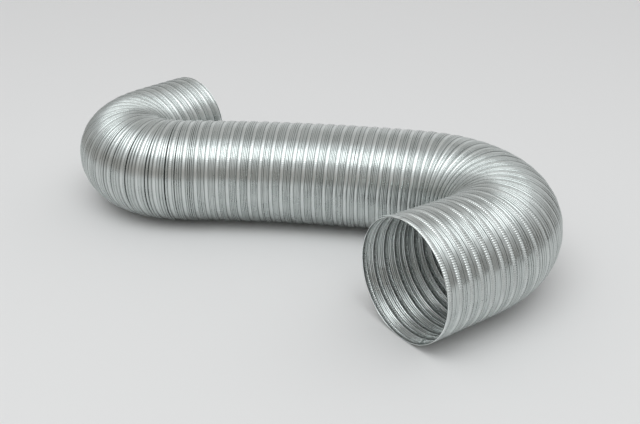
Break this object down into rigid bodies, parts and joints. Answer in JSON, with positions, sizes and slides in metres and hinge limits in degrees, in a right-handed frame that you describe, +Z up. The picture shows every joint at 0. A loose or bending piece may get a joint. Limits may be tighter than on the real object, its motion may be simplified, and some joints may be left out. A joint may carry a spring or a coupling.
{
  "type": "flexible air duct",
  "caption": "Semi-rigid corrugated aluminium air duct lying in an S, open at both ends; its bends open and its middle stretches.",
  "frame": {"origin": "under the centre of the duct's bounding box, on the surface that it lies on", "axes": "+X along the long middle stretch, from the far end's side to the near end's; +Z up"},
  "size_m": [0.5158, 0.4362, 0.1068],
  "materials": {
    "duct_wall": "bright rolled sheet"
  },
  "bodies": {
    "far_cuff": {"far_cuff": "duct_wall"},
    "left_bend_turn_01": {"left_bend_turn_01": "duct_wall"},
    "left_bend_turn_02": {"left_bend_turn_02": "duct_wall"},
    "left_bend_turn_03": {"left_bend_turn_03": "duct_wall"},
    "left_bend_turn_04": {"left_bend_turn_04": "duct_wall"},
    "left_bend_turn_05": {"left_bend_turn_05": "duct_wall"},
    "left_bend_turn_06": {"left_bend_turn_06": "duct_wall"},
    "left_bend_turn_07": {"left_bend_turn_07": "duct_wall"},
    "left_bend_turn_08": {"left_bend_turn_08": "duct_wall"},
    "left_bend_turn_09": {"left_bend_turn_09": "duct_wall"},
    "left_bend_turn_10": {"left_bend_turn_10": "duct_wall"},
    "left_bend_turn_11": {"left_bend_turn_11": "duct_wall"},
    "left_bend_turn_12": {"left_bend_turn_12": "duct_wall"},
    "left_bend_turn_13": {"left_bend_turn_13": "duct_wall"},
    "left_bend_turn_14": {"left_bend_turn_14": "duct_wall"},
    "left_bend_turn_15": {"left_bend_turn_15": "duct_wall"},
    "left_bend_turn_16": {"left_bend_turn_16": "duct_wall"},
    "left_bend_turn_17": {"left_bend_turn_17": "duct_wall"},
    "middle_turn_01": {"middle_turn_01": "duct_wall"},
    "middle_turn_02": {"middle_turn_02": "duct_wall"},
    "middle_turn_03": {"middle_turn_03": "duct_wall"},
    "middle_turn_04": {"middle_turn_04": "duct_wall"},
    "middle_turn_05": {"middle_turn_05": "duct_wall"},
    "middle_turn_06": {"middle_turn_06": "duct_wall"},
    "middle_turn_07": {"middle_turn_07": "duct_wall"},
    "middle_turn_08": {"middle_turn_08": "duct_wall"},
    "middle_turn_09": {"middle_turn_09": "duct_wall"},
    "middle_turn_10": {"middle_turn_10": "duct_wall"},
    "middle_turn_11": {"middle_turn_11": "duct_wall"},
    "middle_turn_12": {"middle_turn_12": "duct_wall"},
    "middle_turn_13": {"middle_turn_13": "duct_wall"},
    "middle_turn_14": {"middle_turn_14": "duct_wall"},
    "middle_turn_15": {"middle_turn_15": "duct_wall"},
    "middle_turn_16": {"middle_turn_16": "duct_wall"},
    "middle_turn_17": {"middle_turn_17": "duct_wall"},
    "middle_turn_18": {"middle_turn_18": "duct_wall"},
    "middle_turn_19": {"middle_turn_19": "duct_wall"},
    "right_bend_turn_01": {"right_bend_turn_01": "duct_wall"},
    "right_bend_turn_02": {"right_bend_turn_02": "duct_wall"},
    "right_bend_turn_03": {"right_bend_turn_03": "duct_wall"},
    "right_bend_turn_04": {"right_bend_turn_04": "duct_wall"},
    "right_bend_turn_05": {"right_bend_turn_05": "duct_wall"},
    "right_bend_turn_06": {"right_bend_turn_06": "duct_wall"},
    "right_bend_turn_07": {"right_bend_turn_07": "duct_wall"},
    "right_bend_turn_08": {"right_bend_turn_08": "duct_wall"},
    "right_bend_turn_09": {"right_bend_turn_09": "duct_wall"},
    "right_bend_turn_10": {"right_bend_turn_10": "duct_wall"},
    "right_bend_turn_11": {"right_bend_turn_11": "duct_wall"},
    "right_bend_turn_12": {"right_bend_turn_12": "duct_wall"},
    "right_bend_turn_13": {"right_bend_turn_13": "duct_wall"},
    "right_bend_turn_14": {"right_bend_turn_14": "duct_wall"},
    "right_bend_turn_15": {"right_bend_turn_15": "duct_wall"},
    "right_bend_turn_16": {"right_bend_turn_16": "duct_wall"},
    "right_bend_turn_17": {"right_bend_turn_17": "duct_wall"},
    "right_bend_turn_18": {"right_bend_turn_18": "duct_wall"},
    "right_bend_turn_19": {"right_bend_turn_19": "duct_wall"},
    "right_bend_turn_20": {"right_bend_turn_20": "duct_wall"},
    "right_bend_turn_21": {"right_bend_turn_21": "duct_wall"},
    "near_cuff": {"near_cuff": "duct_wall"}
  },
  "joints": [
    {"name": "middle_stretch", "type": "slide", "parent": "middle_turn_10", "child": "middle_turn_11", "axis": [1, -0.006, 0], "range_m": [0, 0.0086]},
    {"name": "middle_stretch_fold_01", "type": "slide", "parent": "middle_turn_11", "child": "middle_turn_12", "axis": [0.9998, -0.0179, 0], "range_m": [0, 0.0086]},
    {"name": "middle_stretch_fold_02", "type": "slide", "parent": "middle_turn_12", "child": "middle_turn_13", "axis": [0.9996, -0.0298, 0], "range_m": [0, 0.0086]},
    {"name": "middle_stretch_fold_03", "type": "slide", "parent": "middle_turn_13", "child": "middle_turn_14", "axis": [0.9991, -0.0418, 0], "range_m": [0, 0.0086]},
    {"name": "middle_stretch_fold_04", "type": "slide", "parent": "middle_turn_14", "child": "middle_turn_15", "axis": [0.9986, -0.0537, 0], "range_m": [0, 0.0086]},
    {"name": "middle_stretch_fold_05", "type": "slide", "parent": "middle_turn_15", "child": "middle_turn_16", "axis": [0.9978, -0.0656, 0], "range_m": [0, 0.0086]},
    {"name": "middle_stretch_fold_06", "type": "slide", "parent": "middle_turn_16", "child": "middle_turn_17", "axis": [0.997, -0.0775, 0], "range_m": [0, 0.0086]},
    {"name": "middle_stretch_fold_07", "type": "slide", "parent": "middle_turn_17", "child": "middle_turn_18", "axis": [0.996, -0.0894, 0], "range_m": [0, 0.0086]},
    {"name": "middle_stretch_fold_08", "type": "slide", "parent": "middle_turn_18", "child": "middle_turn_19", "axis": [0.9949, -0.1013, 0], "range_m": [0, 0.0086]},
    {"name": "right_bend_fold_01", "type": "hinge", "parent": "middle_turn_19", "child": "right_bend_turn_01", "pos_m": [0.11636, 0.07744, 0.0534], "axis": [0, 0, 1], "range_deg": [0, 0.9076]},
    {"name": "right_bend_fold_02", "type": "hinge", "parent": "right_bend_turn_01", "child": "right_bend_turn_02", "pos_m": [0.12872, 0.07591, 0.0534], "axis": [0, 0, 1], "range_deg": [0, 2.26]},
    {"name": "right_bend_fold_03", "type": "hinge", "parent": "right_bend_turn_02", "child": "right_bend_turn_03", "pos_m": [0.14309, 0.07355, 0.0534], "axis": [0, 0, 1], "range_deg": [0, 4.52]},
    {"name": "right_bend_fold_04", "type": "hinge", "parent": "right_bend_turn_03", "child": "right_bend_turn_04", "pos_m": [0.15927, 0.06956, 0.0534], "axis": [0, 0, 1], "range_deg": [0, 6.67]},
    {"name": "right_bend", "type": "hinge", "parent": "right_bend_turn_04", "child": "right_bend_turn_05", "pos_m": [0.17664, 0.06306, 0.0534], "axis": [0, 0, 1], "range_deg": [0, 7.69]},
    {"name": "right_bend_fold_05", "type": "hinge", "parent": "right_bend_turn_05", "child": "right_bend_turn_06", "pos_m": [0.19299, 0.05429, 0.0534], "axis": [0, 0, 1], "range_deg": [0, 7.69]},
    {"name": "right_bend_fold_06", "type": "hinge", "parent": "right_bend_turn_06", "child": "right_bend_turn_07", "pos_m": [0.20802, 0.04341, 0.0534], "axis": [0, 0, 1], "range_deg": [0, 7.69]},
    {"name": "right_bend_fold_07", "type": "hinge", "parent": "right_bend_turn_07", "child": "right_bend_turn_08", "pos_m": [0.22146, 0.03061, 0.0534], "axis": [0, 0, 1], "range_deg": [0, 7.69]},
    {"name": "right_bend_fold_08", "type": "hinge", "parent": "right_bend_turn_08", "child": "right_bend_turn_09", "pos_m": [0.23306, 0.01614, 0.0534], "axis": [0, 0, 1], "range_deg": [0, 7.69]},
    {"name": "right_bend_fold_09", "type": "hinge", "parent": "right_bend_turn_09", "child": "right_bend_turn_10", "pos_m": [0.24263, 0.00024, 0.0534], "axis": [0, 0, 1], "range_deg": [0, 7.69]},
    {"name": "right_bend_fold_10", "type": "hinge", "parent": "right_bend_turn_10", "child": "right_bend_turn_11", "pos_m": [0.24998, -0.01679, 0.0534], "axis": [0, 0, 1], "range_deg": [0, 7.69]},
    {"name": "right_bend_fold_11", "type": "hinge", "parent": "right_bend_turn_11", "child": "right_bend_turn_12", "pos_m": [0.25498, -0.03466, 0.0534], "axis": [0, 0, 1], "range_deg": [0, 7.69]},
    {"name": "right_bend_fold_12", "type": "hinge", "parent": "right_bend_turn_12", "child": "right_bend_turn_13", "pos_m": [0.25755, -0.05303, 0.0534], "axis": [0, 0, 1], "range_deg": [0, 7.69]},
    {"name": "right_bend_fold_13", "type": "hinge", "parent": "right_bend_turn_13", "child": "right_bend_turn_14", "pos_m": [0.25764, -0.07158, 0.0534], "axis": [0, 0, 1], "range_deg": [0, 7.69]},
    {"name": "right_bend_fold_14", "type": "hinge", "parent": "right_bend_turn_14", "child": "right_bend_turn_15", "pos_m": [0.25524, -0.08998, 0.0534], "axis": [0, 0, 1], "range_deg": [0, 7.69]},
    {"name": "right_bend_fold_15", "type": "hinge", "parent": "right_bend_turn_15", "child": "right_bend_turn_16", "pos_m": [0.25041, -0.10789, 0.0534], "axis": [0, 0, 1], "range_deg": [0, 7.69]},
    {"name": "right_bend_fold_16", "type": "hinge", "parent": "right_bend_turn_16", "child": "right_bend_turn_17", "pos_m": [0.24322, -0.125, 0.0534], "axis": [0, 0, 1], "range_deg": [0, 7.69]},
    {"name": "right_bend_fold_17", "type": "hinge", "parent": "right_bend_turn_17", "child": "right_bend_turn_18", "pos_m": [0.23381, -0.14098, 0.0534], "axis": [0, 0, 1], "range_deg": [0, 6.84]},
    {"name": "right_bend_fold_18", "type": "hinge", "parent": "right_bend_turn_18", "child": "right_bend_turn_19", "pos_m": [0.22352, -0.15448, 0.0534], "axis": [0, 0, 1], "range_deg": [0, 5.13]},
    {"name": "right_bend_fold_19", "type": "hinge", "parent": "right_bend_turn_19", "child": "right_bend_turn_20", "pos_m": [0.21315, -0.16582, 0.0534], "axis": [0, 0, 1], "range_deg": [0, 3.42]},
    {"name": "right_bend_fold_20", "type": "hinge", "parent": "right_bend_turn_20", "child": "right_bend_turn_21", "pos_m": [0.20325, -0.17543, 0.0534], "axis": [0, 0, 1], "range_deg": [0, 1.71]},
    {"name": "right_bend_fold_21", "type": "hinge", "parent": "right_bend_turn_21", "child": "near_cuff", "pos_m": [0.19425, -0.18365, 0.0534], "axis": [0, 0, 1], "range_deg": [0, 0.4272]},
    {"name": "middle_stretch_fold_09", "type": "slide", "parent": "middle_turn_10", "child": "middle_turn_09", "axis": [-1, -0.006, 0], "range_m": [0, 0.0086]},
    {"name": "middle_stretch_fold_10", "type": "slide", "parent": "middle_turn_09", "child": "middle_turn_08", "axis": [-0.9998, -0.0179, 0], "range_m": [0, 0.0086]},
    {"name": "middle_stretch_fold_11", "type": "slide", "parent": "middle_turn_08", "child": "middle_turn_07", "axis": [-0.9996, -0.0298, 0], "range_m": [0, 0.0086]},
    {"name": "middle_stretch_fold_12", "type": "slide", "parent": "middle_turn_07", "child": "middle_turn_06", "axis": [-0.9991, -0.0418, 0], "range_m": [0, 0.0086]},
    {"name": "middle_stretch_fold_13", "type": "slide", "parent": "middle_turn_06", "child": "middle_turn_05", "axis": [-0.9986, -0.0537, 0], "range_m": [0, 0.0086]},
    {"name": "middle_stretch_fold_14", "type": "slide", "parent": "middle_turn_05", "child": "middle_turn_04", "axis": [-0.9978, -0.0656, 0], "range_m": [0, 0.0086]},
    {"name": "middle_stretch_fold_15", "type": "slide", "parent": "middle_turn_04", "child": "middle_turn_03", "axis": [-0.997, -0.0775, 0], "range_m": [0, 0.0086]},
    {"name": "middle_stretch_fold_16", "type": "slide", "parent": "middle_turn_03", "child": "middle_turn_02", "axis": [-0.996, -0.0894, 0], "range_m": [0, 0.0086]},
    {"name": "middle_stretch_fold_17", "type": "slide", "parent": "middle_turn_02", "child": "middle_turn_01", "axis": [-0.9949, -0.1013, 0], "range_m": [0, 0.0086]},
    {"name": "left_bend_fold_01", "type": "hinge", "parent": "middle_turn_01", "child": "left_bend_turn_17", "pos_m": [-0.09977, -0.02867, 0.0534], "axis": [0, 0, 1], "range_deg": [0, 0.4411]},
    {"name": "left_bend_fold_02", "type": "hinge", "parent": "left_bend_turn_17", "child": "left_bend_turn_16", "pos_m": [-0.11257, -0.02995, 0.0534], "axis": [0, 0, 1], "range_deg": [0, 3.13]},
    {"name": "left_bend_fold_03", "type": "hinge", "parent": "left_bend_turn_16", "child": "left_bend_turn_15", "pos_m": [-0.12833, -0.03067, 0.0534], "axis": [0, 0, 1], "range_deg": [0, 6.27]},
    {"name": "left_bend_fold_04", "type": "hinge", "parent": "left_bend_turn_15", "child": "left_bend_turn_14", "pos_m": [-0.14698, -0.02947, 0.0534], "axis": [0, 0, 1], "range_deg": [0, 8.3]},
    {"name": "left_bend", "type": "hinge", "parent": "left_bend_turn_14", "child": "left_bend_turn_13", "pos_m": [-0.16611, -0.0254, 0.0534], "axis": [0, 0, 1], "range_deg": [0, 8.77]},
    {"name": "left_bend_fold_05", "type": "hinge", "parent": "left_bend_turn_13", "child": "left_bend_turn_12", "pos_m": [-0.1844, -0.01847, 0.0534], "axis": [0, 0, 1], "range_deg": [0, 8.77]},
    {"name": "left_bend_fold_06", "type": "hinge", "parent": "left_bend_turn_12", "child": "left_bend_turn_11", "pos_m": [-0.20141, -0.00883, 0.0534], "axis": [0, 0, 1], "range_deg": [0, 8.77]},
    {"name": "left_bend_fold_07", "type": "hinge", "parent": "left_bend_turn_11", "child": "left_bend_turn_10", "pos_m": [-0.21676, 0.00329, 0.0534], "axis": [0, 0, 1], "range_deg": [0, 8.77]},
    {"name": "left_bend_fold_08", "type": "hinge", "parent": "left_bend_turn_10", "child": "left_bend_turn_09", "pos_m": [-0.23008, 0.01761, 0.0534], "axis": [0, 0, 1], "range_deg": [0, 8.77]},
    {"name": "left_bend_fold_09", "type": "hinge", "parent": "left_bend_turn_09", "child": "left_bend_turn_08", "pos_m": [-0.24106, 0.03379, 0.0534], "axis": [0, 0, 1], "range_deg": [0, 8.77]},
    {"name": "left_bend_fold_10", "type": "hinge", "parent": "left_bend_turn_08", "child": "left_bend_turn_07", "pos_m": [-0.24944, 0.05146, 0.0534], "axis": [0, 0, 1], "range_deg": [0, 8.77]},
    {"name": "left_bend_fold_11", "type": "hinge", "parent": "left_bend_turn_07", "child": "left_bend_turn_06", "pos_m": [-0.25503, 0.07021, 0.0534], "axis": [0, 0, 1], "range_deg": [0, 8.77]},
    {"name": "left_bend_fold_12", "type": "hinge", "parent": "left_bend_turn_06", "child": "left_bend_turn_05", "pos_m": [-0.25769, 0.08958, 0.0534], "axis": [0, 0, 1], "range_deg": [0, 8.77]},
    {"name": "left_bend_fold_13", "type": "hinge", "parent": "left_bend_turn_05", "child": "left_bend_turn_04", "pos_m": [-0.25737, 0.10913, 0.0534], "axis": [0, 0, 1], "range_deg": [0, 8.77]},
    {"name": "left_bend_fold_14", "type": "hinge", "parent": "left_bend_turn_04", "child": "left_bend_turn_03", "pos_m": [-0.25407, 0.12841, 0.0534], "axis": [0, 0, 1], "range_deg": [0, 8.77]},
    {"name": "left_bend_fold_15", "type": "hinge", "parent": "left_bend_turn_03", "child": "left_bend_turn_02", "pos_m": [-0.24787, 0.14696, 0.0534], "axis": [0, 0, 1], "range_deg": [0, 7.25]},
    {"name": "left_bend_fold_16", "type": "hinge", "parent": "left_bend_turn_02", "child": "left_bend_turn_01", "pos_m": [-0.24061, 0.16203, 0.0534], "axis": [0, 0, 1], "range_deg": [0, 3.81]},
    {"name": "left_bend_fold_17", "type": "hinge", "parent": "left_bend_turn_01", "child": "far_cuff", "pos_m": [-0.23411, 0.17349, 0.0534], "axis": [0, 0, 1], "range_deg": [0, 0.9536]}
  ],
  "couplings": [
    {"joint": "left_bend_fold_01", "follows": "left_bend", "ratio": 0.05028},
    {"joint": "left_bend_fold_02", "follows": "left_bend", "ratio": 0.35714},
    {"joint": "left_bend_fold_03", "follows": "left_bend", "ratio": 0.71428},
    {"joint": "left_bend_fold_04", "follows": "left_bend", "ratio": 0.94642},
    {"joint": "left_bend_fold_05", "follows": "left_bend", "ratio": 1},
    {"joint": "left_bend_fold_06", "follows": "left_bend", "ratio": 1},
    {"joint": "left_bend_fold_07", "follows": "left_bend", "ratio": 1},
    {"joint": "left_bend_fold_08", "follows": "left_bend", "ratio": 1},
    {"joint": "left_bend_fold_09", "follows": "left_bend", "ratio": 1},
    {"joint": "left_bend_fold_10", "follows": "left_bend", "ratio": 1},
    {"joint": "left_bend_fold_11", "follows": "left_bend", "ratio": 1},
    {"joint": "left_bend_fold_12", "follows": "left_bend", "ratio": 1},
    {"joint": "left_bend_fold_13", "follows": "left_bend", "ratio": 1},
    {"joint": "left_bend_fold_14", "follows": "left_bend", "ratio": 1},
    {"joint": "left_bend_fold_15", "follows": "left_bend", "ratio": 0.82608},
    {"joint": "left_bend_fold_16", "follows": "left_bend", "ratio": 0.43478},
    {"joint": "left_bend_fold_17", "follows": "left_bend", "ratio": 0.10869},
    {"joint": "right_bend_fold_01", "follows": "right_bend", "ratio": 0.11802},
    {"joint": "right_bend_fold_02", "follows": "right_bend", "ratio": 0.29412},
    {"joint": "right_bend_fold_03", "follows": "right_bend", "ratio": 0.58824},
    {"joint": "right_bend_fold_04", "follows": "right_bend", "ratio": 0.86765},
    {"joint": "right_bend_fold_05", "follows": "right_bend", "ratio": 1},
    {"joint": "right_bend_fold_06", "follows": "right_bend", "ratio": 1},
    {"joint": "right_bend_fold_07", "follows": "right_bend", "ratio": 1},
    {"joint": "right_bend_fold_08", "follows": "right_bend", "ratio": 1},
    {"joint": "right_bend_fold_09", "follows": "right_bend", "ratio": 1},
    {"joint": "right_bend_fold_10", "follows": "right_bend", "ratio": 1},
    {"joint": "right_bend_fold_11", "follows": "right_bend", "ratio": 1},
    {"joint": "right_bend_fold_12", "follows": "right_bend", "ratio": 1},
    {"joint": "right_bend_fold_13", "follows": "right_bend", "ratio": 1},
    {"joint": "right_bend_fold_14", "follows": "right_bend", "ratio": 1},
    {"joint": "right_bend_fold_15", "follows": "right_bend", "ratio": 1},
    {"joint": "right_bend_fold_16", "follows": "right_bend", "ratio": 1},
    {"joint": "right_bend_fold_17", "follows": "right_bend", "ratio": 0.88889},
    {"joint": "right_bend_fold_18", "follows": "right_bend", "ratio": 0.66667},
    {"joint": "right_bend_fold_19", "follows": "right_bend", "ratio": 0.44444},
    {"joint": "right_bend_fold_20", "follows": "right_bend", "ratio": 0.22222},
    {"joint": "right_bend_fold_21", "follows": "right_bend", "ratio": 0.05555},
    {"joint": "middle_stretch_fold_01", "follows": "middle_stretch", "ratio": 1},
    {"joint": "middle_stretch_fold_02", "follows": "middle_stretch", "ratio": 1},
    {"joint": "middle_stretch_fold_03", "follows": "middle_stretch", "ratio": 1},
    {"joint": "middle_stretch_fold_04", "follows": "middle_stretch", "ratio": 1},
    {"joint": "middle_stretch_fold_05", "follows": "middle_stretch", "ratio": 1},
    {"joint": "middle_stretch_fold_06", "follows": "middle_stretch", "ratio": 1},
    {"joint": "middle_stretch_fold_07", "follows": "middle_stretch", "ratio": 1},
    {"joint": "middle_stretch_fold_08", "follows": "middle_stretch", "ratio": 1},
    {"joint": "middle_stretch_fold_09", "follows": "middle_stretch", "ratio": 1},
    {"joint": "middle_stretch_fold_10", "follows": "middle_stretch", "ratio": 1},
    {"joint": "middle_stretch_fold_11", "follows": "middle_stretch", "ratio": 1},
    {"joint": "middle_stretch_fold_12", "follows": "middle_stretch", "ratio": 1},
    {"joint": "middle_stretch_fold_13", "follows": "middle_stretch", "ratio": 1},
    {"joint": "middle_stretch_fold_14", "follows": "middle_stretch", "ratio": 1},
    {"joint": "middle_stretch_fold_15", "follows": "middle_stretch", "ratio": 1},
    {"joint": "middle_stretch_fold_16", "follows": "middle_stretch", "ratio": 1},
    {"joint": "middle_stretch_fold_17", "follows": "middle_stretch", "ratio": 1}
  ]
}
